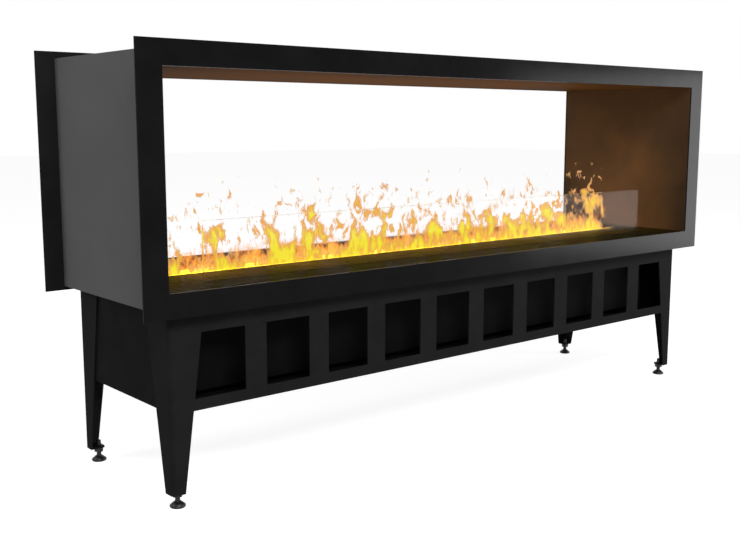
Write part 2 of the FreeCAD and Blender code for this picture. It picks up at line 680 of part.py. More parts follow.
# Slot deck and filler hatch
def slot_deck():
    """Two deck plates that meet past the slot's ends: slot in the front one, hatch in the rear one."""
    z = (UNDERFLOOR, FLOOR)
    cut_z = (UNDERFLOOR - CUT, FLOOR + CUT)
    front = box(span(DECK_HALF_LENGTH), (-DECK_HALF_DEPTH, SLOT_HALF_WIDTH), z)
    slot = box(span(SLOT_HALF_LENGTH), (-SLOT_HALF_WIDTH, SLOT_HALF_WIDTH + CUT), cut_z)
    rear = box(span(DECK_HALF_LENGTH), (SLOT_HALF_WIDTH, DECK_HALF_DEPTH), z)
    hatch = box((HATCH_LEFT, HATCH_RIGHT), around(FILLER_Y, HATCH_DEPTH / 2), cut_z)
    return group([front.cut(slot), rear.cut(hatch)])


def hinge_rod(radius, left, right):
    return rod(radius, (left, HINGE_Y, HINGE_Z), (right, HINGE_Y, HINGE_Z))


def flap_hinge():
    """Fixed half of the flap's hinge: a leaf on the deck, a knuckle at each end and the riveted pin."""
    inner = HINGE_Y + HINGE_RADIUS + MOVING_GAP
    shapes = [box((HATCH_LEFT, HATCH_RIGHT), (inner, DECK_HALF_DEPTH), (FLOOR, FLOOR + FLAP_SHEET)),
              hinge_rod(HINGE_PIN, HATCH_LEFT, HATCH_RIGHT)]
    for left, right in ((HATCH_LEFT, HATCH_LEFT + HINGE_KNUCKLE), (HATCH_RIGHT - HINGE_KNUCKLE, HATCH_RIGHT)):
        shapes.append(hinge_rod(HINGE_RADIUS, left, right))
        shapes.append(box((left, right), (HINGE_Y - HINGE_SADDLE, inner), (FLOOR, FLOOR + FLAP_SHEET)))
    return joined(shapes)


def filler_flap():
    """Lid over the filler hatch, with a finger hole and the hinge's middle knuckle."""
    low = FLOOR + MOVING_GAP
    z = (low, low + FLAP_SHEET)
    rear = HINGE_Y - HINGE_RADIUS - MOVING_GAP
    front = FILLER_Y - HATCH_DEPTH / 2 - FLAP_LAP
    lid = box((HATCH_LEFT - FLAP_LAP, HATCH_RIGHT + FLAP_LAP), (front, rear), z)
    left, right = HATCH_LEFT + HINGE_KNUCKLE + MOVING_GAP, HATCH_RIGHT - HINGE_KNUCKLE - MOVING_GAP
    leaf = box((left, right), (rear, HINGE_Y), z)
    pin_hole = hinge_rod(HINGE_PIN + RUNNING_GAP, left - CUT, right + CUT)
    finger_y = FILLER_Y - FINGER_HOLE_OFFSET
    finger_hole = rod(FINGER_HOLE, (FILLER_X, finger_y, z[0] - CUT), (FILLER_X, finger_y, z[1] + CUT))
    return joined([lid, leaf, hinge_rod(HINGE_RADIUS, left, right)]).cut(group([pin_hole, finger_hole]))


# Fans
def fan_frame(x):
    """Square fan housing on the casing's rear wall, with the motor boss on three struts."""
    y, half = (FAN_FRONT, CASE_IN_Y), FAN_SIDE / 2
    frame = moulded(around(x, half), y, around(FAN_Z, half), FAN_CORNER, "Y")
    hole = half - FAN_HOLE_INSET
    bores = [(FAN_BORE, x, FAN_Z)] + [(FAN_HOLE, x + a, FAN_Z + b) for a in span(hole) for b in span(hole)]
    frame = frame.cut(group([rod(r, (at, y[0] - CUT, z), (at, y[1] + CUT, z)) for r, at, z in bores]))
    boss = rod(FAN_HUB - FAN_BOSS_INSET, (x, y[0], FAN_Z), (x, y[0] + FAN_BOSS, FAN_Z))
    shaft = rod(FAN_SHAFT, (x, y[0], FAN_Z), (x, y[1] - FAN_END_SPACE, FAN_Z))
    struts = []
    for i in range(FAN_STRUTS):
        thick, width = (y[0], y[0] + FAN_STRUT_THICK), around(FAN_Z, FAN_STRUT_WIDTH / 2)
        strut = box((x, x + FAN_BORE + CUT), thick, width)
        strut.rotate(V(x, 0, FAN_Z), V(0, 1, 0), 90 + 360 * i / FAN_STRUTS)
        struts.append(strut)
    return joined([frame, boss, shaft] + struts)


def blade_section(x, y, radius, pitch):
    """Outline of a blade at one radius, turned to its pitch."""
    c, s = math.cos(math.radians(pitch)), math.sin(math.radians(pitch))
    half, thick = FAN_CHORD / 2, FAN_BLADE_THICK / 2
    outline = [(-half, -thick), (half, -thick), (half, thick), (-half, thick)]
    points = [V(x + radius, y + u * s + v * c, FAN_Z + u * c - v * s) for u, v in outline]
    return Part.makePolygon(points + points[:1])


def fan_rotor(x):
    """Hub with twisted blades whose pitch falls from root to tip."""
    y = (FAN_FRONT + FAN_BOSS + MOVING_GAP, CASE_IN_Y - FAN_END_SPACE + MOVING_GAP)
    middle = sum(y) / 2
    sections = [blade_section(x, middle, FAN_HUB - FAN_BLADE_ROOT, FAN_ROOT_PITCH),
                blade_section(x, middle, FAN_TIP, FAN_TIP_PITCH)]
    shapes = [rod(FAN_HUB, (x, y[0], FAN_Z), (x, y[1], FAN_Z))]
    for i in range(FAN_BLADES):
        blade = Part.makeLoft(sections, True, False)
        blade.rotate(V(x, 0, FAN_Z), V(0, 1, 0), 360 * i / FAN_BLADES)
        shapes.append(blade)
    return joined(shapes).cut(rod(FAN_SHAFT + RUNNING_GAP, (x, y[0] - CUT, FAN_Z), (x, y[1] + CUT, FAN_Z)))


# Water tank
def water_tank():
    """Tub of the water tank, with a feed hole near the bottom."""
    body = tub((TANK_LEFT, TANK_RIGHT), span(TANK_HALF_DEPTH), (CASE_FLOOR, TANK_RIM), SHEET, TANK_CORNER)
    return body.cut(feed_hole(TANK_LEFT, FEED_RADIUS))


def filler_rod(radius, low, high):
    return rod(radius, (FILLER_X, FILLER_Y, low), (FILLER_X, FILLER_Y, high))


def tank_lid():
    """Lid of the water tank with the filler neck."""
    plate = moulded((TANK_LEFT, TANK_RIGHT), span(TANK_HALF_DEPTH), (TANK_RIM, TANK_TOP), TANK_CORNER)
    necked = joined([plate, filler_rod(NECK_RADIUS, TANK_RIM, NECK_TOP)])
    return necked.cut(filler_rod(NECK_BORE, TANK_RIM - CUT, NECK_TOP + CUT))


def filler_plug():
    """Pull-out stopper in the filler neck."""
    head = NECK_TOP + MOVING_GAP
    stem = filler_rod(NECK_BORE - RUNNING_GAP, NECK_TOP - PLUG_DEPTH, head)
    return joined([stem, filler_rod(PLUG_RADIUS, head, head + PLUG_HEAD)])


def feed_tube():
    left, right = SUMP_RIGHT - SHEET - FEED_END, TANK_LEFT + SHEET + FEED_END
    tube = rod(FEED_RADIUS, (left, 0, FEED_Z), (right, 0, FEED_Z))
    return tube.cut(rod(FEED_RADIUS - FEED_WALL, (left - CUT, 0, FEED_Z), (right + CUT, 0, FEED_Z)))


def tank_float():
    """Ring float on its guide rod, near the top of its travel."""
    ring = rod(FLOAT_RADIUS, (FLOAT_X, 0, FLOAT_LOW), (FLOAT_X, 0, FLOAT_LOW + FLOAT_HEIGHT))
    return ring.cut(rod(GUIDE_RADIUS + RUNNING_GAP, (FLOAT_X, 0, CASE_FLOOR), (FLOAT_X, 0, TANK_TOP)))


def float_guide():
    return rod(GUIDE_RADIUS, (FLOAT_X, 0, CASE_FLOOR + SHEET), (FLOAT_X, 0, TANK_RIM))


# Controls
def board_corners():
    xs = (BOX_LEFT + POST_INSET, BOX_RIGHT - POST_INSET)
    return [(x, y) for x in xs for y in span(BOX_HALF_DEPTH - POST_INSET)]


def control_box():
    """Moulded box with four posts for the board."""
    shell = tub((BOX_LEFT, BOX_RIGHT), span(BOX_HALF_DEPTH), (CASE_FLOOR, BOX_TOP), SHEET, BOX_CORNER)
    posts = [rod(POST_RADIUS, (x, y, CASE_FLOOR), (x, y, BOARD_LOW)) for x, y in board_corners()]
    return joined([shell] + posts)


def control_box_lid():
    """Lid with a rim that drops inside the box."""
    plate = moulded((BOX_LEFT, BOX_RIGHT), span(BOX_HALF_DEPTH), (BOX_TOP, BOX_TOP + SHEET), BOX_CORNER)
    outside, inside = [moulded((BOX_LEFT + inset, BOX_RIGHT - inset), span(BOX_HALF_DEPTH - inset),
                               (BOX_TOP - LID_RIM, BOX_TOP), BOX_CORNER - SHEET)
                       for inset in (SHEET + SEAT_GAP, 2 * SHEET + SEAT_GAP)]
    return joined([plate, outside.cut(inside)])


def control_board():
    """Circuit board on the posts, with a transformer and a row of relays."""
    left, right, half = BOX_LEFT + BOARD_MARGIN, BOX_RIGHT - BOARD_MARGIN, BOX_HALF_DEPTH - BOARD_MARGIN
    top = BOARD_LOW + BOARD_SHEET
    board = box((left, right), span(half), (BOARD_LOW, top))
    start = left + COMPONENT_INSET
    transformer = box((start, start + TRANSFORMER_LENGTH), span(TRANSFORMER_HALF_DEPTH),
                      (top, top + TRANSFORMER_HEIGHT))
    end = right - COMPONENT_INSET
    relays = [box((end - RELAY_LENGTH, end), around(y, RELAY_DEPTH / 2), (top, top + RELAY_HEIGHT))
              for y in spread(RELAYS, -half, half)]
    return joined([board, transformer] + relays)


def power_inlet():
    """Appliance inlet in the casing's left end: bezel, shrouded recess and three flat contacts."""
    face, back, bezel = CONTROLS_FACE, CONTROLS_FACE + INLET_LONG, CONTROLS_FACE - BEZEL
    half_y, half_z = INLET_WIDE / 2, INLET_HIGH / 2
    body = joined([controls_block((bezel, face), INLET_Y, half_y + INLET_LIP, half_z + INLET_LIP),
                   controls_block((face, back), INLET_Y, half_y, half_z)])
    floor = back - INLET_BACK
    recess = controls_block((bezel - CUT, floor), INLET_Y, half_y - INLET_WALL, half_z - INLET_WALL)
    contacts = [box((floor - CONTACT_LONG, back), around(INLET_Y + step * CONTACT_SPACING, CONTACT_WIDE / 2),
                    around(CONTROLS_Z + rise, CONTACT_HIGH / 2))
                for step, rise in ((-1, -CONTACT_RISE), (0, CONTACT_RISE), (1, -CONTACT_RISE))]
    return joined([body.cut(recess)] + contacts)


def pivot_rod(radius, half):
    return rod(radius, (ROCKER_X, SWITCH_Y - half, CONTROLS_Z), (ROCKER_X, SWITCH_Y + half, CONTROLS_Z))


def switch_housing():
    """Bezel and body of the main switch, with holes for the rocker's pivot."""
    face, back, bezel = CONTROLS_FACE, CONTROLS_FACE + SWITCH_LONG, CONTROLS_FACE - BEZEL
    half_y, half_z = SWITCH_WIDE / 2, SWITCH_HIGH / 2
    body = joined([controls_block((bezel, face), SWITCH_Y, half_y + SWITCH_LIP, half_z + SWITCH_LIP),
                   controls_block((face, back), SWITCH_Y, half_y, half_z)])
    depth = (bezel - CUT, back - SWITCH_BACK)
    well = controls_block(depth, SWITCH_Y, half_y - SWITCH_WALL, half_z - SWITCH_WALL)
    return body.cut(group([well, pivot_rod(ROCKER_PIVOT + RUNNING_GAP, half_y - SEAT_GAP)]))


def switch_rocker():
    """Rocker with a shallow V face, tipped to on."""
    tall = SWITCH_HIGH / 2 - SWITCH_WALL - ROCKER_END_GAP
    outline = [(-ROCKER_CREST, tall), (-ROCKER_WAIST, 0), (-ROCKER_CREST, -tall), (ROCKER_SHOULDER, -tall),
               (ROCKER_BACK, -ROCKER_SHOULDER), (ROCKER_BACK, ROCKER_SHOULDER), (ROCKER_SHOULDER, tall)]
    half = SWITCH_WIDE / 2 - SWITCH_WALL - MOVING_GAP
    body = extruded([(ROCKER_X + u, CONTROLS_Z + w) for u, w in outline], "xz", around(SWITCH_Y, half))
    rocker = joined([body, pivot_rod(ROCKER_PIVOT, SWITCH_WIDE / 2 - SEAT_GAP - MOVING_GAP)])
    rocker.rotate(V(ROCKER_X, SWITCH_Y, CONTROLS_Z), V(0, 1, 0), ROCKER_TILT)
    return rocker


# Glass screens
def glass_channel():
    """Front U channel under the floor's slot that a pane stands in."""
    inner, outer = GLASS_SLOT, GLASS_SLOT + CHANNEL_WALL
    low, top = CHANNEL_SEAT - CHANNEL_BASE, UNDERFLOOR
    outline = [(-outer, low), (outer, low), (outer, top), (inner, top),
               (inner, CHANNEL_SEAT), (-inner, CHANNEL_SEAT), (-inner, top), (-outer, top)]
    return extruded([(y - GLASS_Y, z) for y, z in outline], "yz", span(CHANNEL_HALF_LENGTH))


def glass_pane():
    """Front pane with its top edges ground to a small chamfer."""
    top = FLOOR + GLASS_HEIGHT
    low = CHANNEL_SEAT + MOVING_GAP
    pane = box(span(GLASS_HALF_LENGTH), around(-GLASS_Y, GLASS_THICK / 2), (low, top))
    top_edges = [edge for edge in pane.Edges if edge.BoundBox.ZMin > top - SEAT_GAP]
    return pane.makeChamfer(GLASS_CHAMFER, top_edges)


# Fasteners
def headed(x, y, seat, head, head_height, shank, low):
    """Screw or bolt with a round head above its seat and a plain shank below."""
    tip = low - seat
    outline = [(0, tip), (shank, tip), (shank, 0), (head, 0), (head, head_height), (0, head_height)]
    return turned(outline, x, y, seat)


def cassette_screws():
    """Screws down through bearers, cassette flanges and pan."""
    seat, low = CASE_TOP + SHEET, SKIN_BOTTOM - THREAD_END
    return group([headed(x, y, seat, SCREW_HEAD, SCREW_HEAD_HEIGHT, SCREW_RADIUS, low)
                  for x, y in along_sides(SCREW_Y)])


def pedestal_bolts():
    """Bolts down through the pan and the vent panels' flanges."""
    low = SKIN_BOTTOM - PEDESTAL_SHEET - BOLT_NUT_HEIGHT - THREAD_END
    return group([headed(x, y, PAN_TOP, BOLT_HEAD, BOLT_HEAD_HEIGHT, BOLT_RADIUS, low)
                  for x, y in along_sides(BOLT_Y)])


def pedestal_nuts():
    top = SKIN_BOTTOM - PEDESTAL_SHEET
    return group([hexagon_nut(x, y, top - BOLT_NUT_HEIGHT, top, BOLT_NUT_FLATS, BOLT_RADIUS)
                  for x, y in along_sides(BOLT_Y)])


def pieces():
    """Every node by name."""
    nodes = {
        "front_trim_frame": trim_frame(),
        "rear_trim_frame": mirrored(trim_frame(), "y"),
        "left_side_panel": side_panel(),
        "right_side_panel": mirrored(side_panel(), "x"),
        "roof_panel": roof_panel(),
        "left_liner": side_liner(),
        "right_liner": mirrored(side_liner(), "x"),
        "ceiling_liner": ceiling_liner(),
        "base_pan": base_pan(),
        "firebox_floor": firebox_floor(),
        "floor_bearers": both_sides(floor_bearer()),
        "front_vent_panel": vent_panel(),
        "rear_vent_panel": mirrored(vent_panel(), "y"),
        "left_base_panel": base_side_panel(),
        "right_base_panel": mirrored(base_side_panel(), "x"),
        "base_tray": base_tray(),
        "foot_plates": group(list(corners(foot_plate()).values())),
        "lock_nuts": group(list(corners(lock_nut()).values())),
        "cassette_casing": cassette_casing(),
        "casing_ends": casing_ends(),
        "bay_dividers": bay_dividers(),
        "sump_tray": sump_tray(),
        "transducers": group([transducer(x) for x in spread(TRANSDUCERS, SUMP_LEFT, SUMP_RIGHT)]),
        "front_mist_baffle": mist_baffle(),
        "rear_mist_baffle": rear_mist_baffle(),
        "light_bars": both_sides(light_bar()),
        "light_diffusers": both_sides(light_diffuser()),
        "slot_deck": slot_deck(),
        "filler_flap": filler_flap(),
        "flap_hinge": flap_hinge(),
        "fan_frames": group([fan_frame(x) for x in fan_places().values()]),
        "water_tank": water_tank(),
        "tank_lid": tank_lid(),
        "filler_plug": filler_plug(),
        "feed_tube": feed_tube(),
        "tank_float": tank_float(),
        "float_guide": float_guide(),
        "control_box": control_box(),
        "control_box_lid": control_box_lid(),
        "control_board": control_board(),
        "power_inlet": power_inlet(),
        "switch_housing": switch_housing(),
        "switch_rocker": switch_rocker(),
        "glass_channels": both_sides(glass_channel()),
        "front_glass_pane": glass_pane(),
        "rear_glass_pane": mirrored(glass_pane(), "y"),
        "cassette_screws": cassette_screws(),
        "pedestal_bolts": pedestal_bolts(),
        "pedestal_nuts": pedestal_nuts(),
    }
    for corner, shape in corners(leg()).items():
        nodes[corner + "_leg"] = shape
    for corner, shape in corners(glide()).items():
        nodes[corner + "_glide"] = shape
    for name, x in fan_places().items():
        nodes[name + "_fan_rotor"] = fan_rotor(x)
    return nodes


os.makedirs("parts", exist_ok=True)
for node, shape in pieces().items():
    shape.exportStep("parts/" + node + ".step")
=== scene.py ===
import json
import math

import bmesh
import bpy
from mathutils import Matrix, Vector


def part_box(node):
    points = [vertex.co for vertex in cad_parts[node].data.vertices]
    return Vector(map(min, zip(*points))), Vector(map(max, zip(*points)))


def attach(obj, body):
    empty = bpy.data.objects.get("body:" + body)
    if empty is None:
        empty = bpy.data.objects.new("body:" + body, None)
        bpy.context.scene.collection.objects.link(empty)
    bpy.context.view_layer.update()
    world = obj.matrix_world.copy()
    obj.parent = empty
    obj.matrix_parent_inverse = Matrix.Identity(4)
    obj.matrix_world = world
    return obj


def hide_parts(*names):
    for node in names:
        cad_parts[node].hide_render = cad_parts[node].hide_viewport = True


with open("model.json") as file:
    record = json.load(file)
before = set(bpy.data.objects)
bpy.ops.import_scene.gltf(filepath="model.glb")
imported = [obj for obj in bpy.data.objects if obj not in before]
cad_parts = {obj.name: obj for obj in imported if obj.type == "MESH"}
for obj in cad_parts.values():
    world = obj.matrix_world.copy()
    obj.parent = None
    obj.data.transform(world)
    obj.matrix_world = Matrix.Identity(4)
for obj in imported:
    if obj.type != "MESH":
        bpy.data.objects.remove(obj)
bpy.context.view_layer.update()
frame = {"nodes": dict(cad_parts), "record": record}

MM = 0.001

# Camera of the photograph: 740 by 540 pixels, from the front left, a little above the flames
CAMERA_PLACE = (-1.6226, -1.7404, 0.7045)
CAMERA_YAW = math.radians(40.005)
CAMERA_PITCH = math.radians(8.425)
CAMERA_LENS = 48.0
CAMERA_SENSOR = 36.0

# Places taken from the frame
FLOOR_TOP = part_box("firebox_floor")[1].z
SLOT_LOW, SLOT_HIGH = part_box("light_diffusers")

# Levelling feet
FEET = ("front_left", "front_right", "rear_left", "rear_right")
STEM_RADIUS = 5 * MM
PAD_RIM = 4 * MM
PAD_HEIGHT = 11 * MM
PAD_NECK = 6.5 * MM
PAD_ROUND = 1 * MM
THREAD_PITCH = 1.5 * MM
THREAD_DEPTH = 0.7 * MM
FOOT_SEGMENTS = 48
MERGE_DISTANCE = 0.01 * MM

# Light strips under the diffusers; a wave texture turns by 20 radians in a unit of length
LIGHT_PITCH = 50 * MM
WAVE_TURN = 20

# Sheets of lit vapour that rise from the slot
SHEET_END = 12 * MM
SHEET_DIP = 3 * MM
SHEET_THICK = 1.5 * MM
SHEET_COLUMNS = 160
SHEET_ROWS = 14
SHEET_FOLD = 9 * MM
SHEET_LEAN = 4

# Pattern of the vapour, in widths of a tongue, and how far the tongues are drawn up
GROUP_WIDTH = 4
CURRENT_WIDTH = 2.5
SWAY_WIDTH = 4
TONGUE_SHAPE = (1.0, 0.5, 0.4)

# Light of the fire
GLOW_LAMPS = 7
GLOW_HEIGHT = 70 * MM
GLOW_RADIUS = 40 * MM
GLOW_POWER = 4.1
GLOW_COLOUR = "#FFC67C"

# Studio: the floor's lift is what the eye sees of it beyond the light that falls on it
SKY_LIGHT = 0.2
FLOOR_REACH = 20
FLOOR_COLOURS = ("#C4C4C4", "#CACACA")
FLOOR_LIFT = 0.85
# Softboxes: place, the point that they face, width, height and power
SOFTBOXES = {
    "right_softbox": ((3.05, -1.98, 0.46), (0.47, -0.25, 0.46), 1.3, 1.04, 50),
    "front_softbox": ((-1.2, -3.4, 3.0), (0, 0, 0.4), 2.4, 1.2, 128),
    "left_softbox": ((-3.2, 0.8, 1.9), (-0.8, 0, 0.6), 1.2, 1.0, 25),
}


def linear(colour):
    """An sRGB hex colour as the linear RGBA that Blender works in."""
    channels = [int(colour[i:i + 2], 16) / 255 for i in (1, 3, 5)]
    return [c / 12.92 if c <= 0.04045 else ((c + 0.055) / 1.055) ** 2.4 for c in channels] + [1.0]


def size(millimetres):
    """Scale of a noise whose features are about this wide."""
    return 1 / (millimetres * MM)


def add(tree, kind, settings, feeds=()):
    """Adds a node, sets its properties, ramp stops and input values, and links outputs to its inputs."""
    node = tree.nodes.new("ShaderNode" + kind)
    for name, value in settings.items():
        if name == "stops":
            stops = node.color_ramp.elements
            stops.remove(stops[1])
            stops[0].position, stops[0].color = value[0]
            for place, colour in value[1:]:
                stops.new(place).color = colour
        elif isinstance(name, int) or name in node.inputs:
            node.inputs[name].default_value = value
        else:
            setattr(node, name, value)
    for name, output in dict(feeds).items():
        tree.links.new(output, node.inputs[name])
    return node


def new_material(name):
    """An empty material, its tree and the Object coordinates that its patterns read."""
    material = bpy.data.materials.new(name)
    material.use_nodes = True
    tree = material.node_tree
    tree.nodes.clear()
    return material, tree, add(tree, "TexCoord", {}).outputs["Object"]


def close(tree, shader):
    """Ends a material's tree with its shader."""
    add(tree, "OutputMaterial", {}, {"Surface": shader.outputs[0]})


# Materials of solid pieces
def surface(name, colours, patch_mm, roughness, grain_mm, grain_depth_mm, fixed):
    """A material with cloudy patches of two colours and two roughnesses, and a fine grain in relief.

    The fixed values are the same all over and go straight to the shader's sockets."""
    material, tree, place = new_material(name)
    patches = add(tree, "TexNoise", {"Scale": size(patch_mm), "Detail": 4.0, "Roughness": 0.6},
                  {"Vector": place})
    tint = add(tree, "ValToRGB", {"stops": [(0.35, linear(colours[0])), (0.65, linear(colours[1]))]},
               {"Fac": patches.outputs["Fac"]})
    gloss = add(tree, "MapRange",
                {"From Min": 0.3, "From Max": 0.7, "To Min": roughness[0], "To Max": roughness[1]},
                {"Value": patches.outputs["Fac"]})
    grain = add(tree, "TexNoise", {"Scale": size(grain_mm), "Detail": 2.0}, {"Vector": place})
    relief = add(tree, "Bump", {"Strength": 0.6, "Distance": grain_depth_mm * MM},
                 {"Height": grain.outputs["Fac"]})
    shader = add(tree, "BsdfPrincipled", fixed,
                 {"Base Color": tint.outputs["Color"], "Roughness": gloss.outputs["Result"],
                  "Normal": relief.outputs["Normal"]})
    close(tree, shader)
    return material


def satin_powder_coat():
    # Baked polyester powder on the near frame: near black, with a sheen that grows towards a low angle.
    # Its orange peel is about 1 mm across in life and is drawn at 5 mm, so that it shows from two metres.
    return surface("satin_powder_coat", ("#101011", "#151516"), patch_mm=90, roughness=(0.12, 0.17),
                   grain_mm=5, grain_depth_mm=0.02, fixed={"Specular IOR Level": 0.03})


def case_coat():
    # Flat dark grey paint on the tunnel's outer sheet: paler than the black faces, without shine.
    return surface("case_coat", ("#5E5E5F", "#636364"), patch_mm=150, roughness=(0.6, 0.7),
                   grain_mm=4, grain_depth_mm=0.05, fixed={"Specular IOR Level": 0.02})


def matt_coat_and_lit_far_frame():
    # Fine-textured powder on the pedestal: dry black that hardly shines from any side. On the far frame it is
    # painted light: that frame is satin like the near one, and this paler black stands in for the light on
    # its strip.
    return surface("matt_coat_and_lit_far_frame", ("#1E1E1F", "#232324"), patch_mm=70, roughness=(0.62, 0.72),
                   grain_mm=4, grain_depth_mm=0.08, fixed={"Specular IOR Level": 0.01})


def liner_paint_and_painted_firelight():
    # Heat-proof black paint on the firebox's end walls, which shines a little. Its soft brown tint is painted
    # firelight: the fire's colour put into the paint.
    return surface("liner_paint_and_painted_firelight", ("#2B231B", "#352B20"), patch_mm=120, roughness=(0.5, 0.6),
                   grain_mm=4, grain_depth_mm=0.05, fixed={"Specular IOR Level": 0.09})


def ceiling_paint_and_painted_firelight():
    # The same paint above the fire, dulled by the vapour: no shine even at a low angle. Its brown tint is
    # painted firelight.
    return surface("ceiling_paint_and_painted_firelight", ("#2B2116", "#35281A"), patch_mm=120, roughness=(0.6, 0.7),
                   grain_mm=4, grain_depth_mm=0.05, fixed={"Specular IOR Level": 0.004})


def floor_enamel_and_painted_firelight():
    # Black enamel on the firebox floor, which hardly shines. Its olive tint is painted firelight: the fire's
    # light put into the colour.
    return surface("floor_enamel_and_painted_firelight", ("#1C1A0B", "#262310"), patch_mm=70, roughness=(0.2, 0.3),
                   grain_mm=9, grain_depth_mm=0.04, fixed={"Specular IOR Level": 0.0006})


def black_paint_and_painted_shade():
    # Thin matt black paint on the cassette: dry and even. On the pedestal's side panels and tray it is
    # painted shade, darker than the pedestal's coat, for the shaded sides and the dark inside behind the
    # windows.
    return surface("black_paint_and_painted_shade", ("#0B0B0C", "#111112"), patch_mm=60, roughness=(0.6, 0.75),
                   grain_mm=3, grain_depth_mm=0.04, fixed={"Specular IOR Level": 0.02})


def black_oxide():
    # Blackened turned steel with a film of oil: dark metal with brighter worn patches.
    return surface("black_oxide", ("#1A1A1C", "#2E2E31"), patch_mm=6, roughness=(0.32, 0.5),
                   grain_mm=1.2, grain_depth_mm=0.03, fixed={"Metallic": 0.7})


def bright_steel():
    # Plain bright steel: grey metal, slightly clouded by handling.
    return surface("bright_steel", ("#A9ABAD", "#C2C4C6"), patch_mm=8, roughness=(0.22, 0.36),
                   grain_mm=1.5, grain_depth_mm=0.02, fixed={"Metallic": 1.0})


def black_anodised():
    # Black anodised aluminium extrusion: a silky metal black.
    return surface("black_anodised", ("#151516", "#1E1E20"), patch_mm=40, roughness=(0.3, 0.4),
                   grain_mm=2, grain_depth_mm=0.02, fixed={"Metallic": 0.6})


def moulded_plastic():
    # Glass-filled black nylon from a spark-eroded mould: fine matt grain.
    return surface("moulded_plastic", ("#101011", "#191919"), patch_mm=20, roughness=(0.5, 0.62),
                   grain_mm=1.5, grain_depth_mm=0.06, fixed={"Specular IOR Level": 0.4})


def gloss_plastic():
    # Polished black ABS: deep black with a clear shine.
    return surface("gloss_plastic", ("#0B0B0C", "#111112"), patch_mm=12, roughness=(0.12, 0.2),
                   grain_mm=4, grain_depth_mm=0.01, fixed={"IOR": 1.53})


def natural_plastic():
    # Uncoloured polypropylene: milky and waxy, with light that sinks in a little.
    return surface("natural_plastic", ("#D9D8CE", "#E6E5DC"), patch_mm=30, roughness=(0.38, 0.5),
                   grain_mm=3, grain_depth_mm=0.03,
                   fixed={"IOR": 1.49, "Subsurface Weight": 0.3, "Subsurface Scale": 4 * MM})


def soft_rubber():
    # Moulded black rubber: dead matt with a grey bloom.
    return surface("soft_rubber", ("#161617", "#262627"), patch_mm=8, roughness=(0.7, 0.85),
                   grain_mm=1, grain_depth_mm=0.05, fixed={"Specular IOR Level": 0.3})


def circuit_board():
    # Epoxy board and its components under green lacquer: deep green with a thin clear coat.
    return surface("circuit_board", ("#0E3A1C", "#1B5A2C"), patch_mm=7, roughness=(0.3, 0.45),
                   grain_mm=2, grain_depth_mm=0.03, fixed={"Coat Weight": 0.4})


def clear_glass():
    # Clear toughened glass: all but invisible, with a faint bloom of dust that softens what it mirrors.
    material, tree, place = new_material("clear_glass")
    dust = add(tree, "TexNoise", {"Scale": size(160), "Detail": 3.0}, {"Vector": place})
    haze = add(tree, "MapRange", {"From Min": 0.35, "From Max": 0.75, "To Min": 0.12, "To Max": 0.16},
               {"Value": dust.outputs["Fac"]})
    shader = add(tree, "BsdfPrincipled",
                 {"Base Color": linear("#FFFFFF"), "Transmission Weight": 1.0, "IOR": 1.06},
                 {"Roughness": haze.outputs["Result"]})
    close(tree, shader)
    return material


def opal_diffuser():
    # Opal acrylic strip with yellow light behind it: bright, with a soft spot over each light source.
    material, tree, place = new_material("opal_diffuser")
    spots = add(tree, "TexWave", {"Scale": math.tau / (WAVE_TURN * LIGHT_PITCH), "Distortion": 0.0},
                {"Vector": place})
    glow = add(tree, "ValToRGB", {"stops": [(0.0, linear("#F2C81E")), (1.0, linear("#FFE83A"))]},
               {"Fac": spots.outputs["Fac"]})
    shader = add(tree, "BsdfPrincipled", {"Roughness": 0.5, "Emission Strength": 1.6},
                 {"Base Color": glow.outputs["Color"], "Emission Color": glow.outputs["Color"]})
    close(tree, shader)
    return material


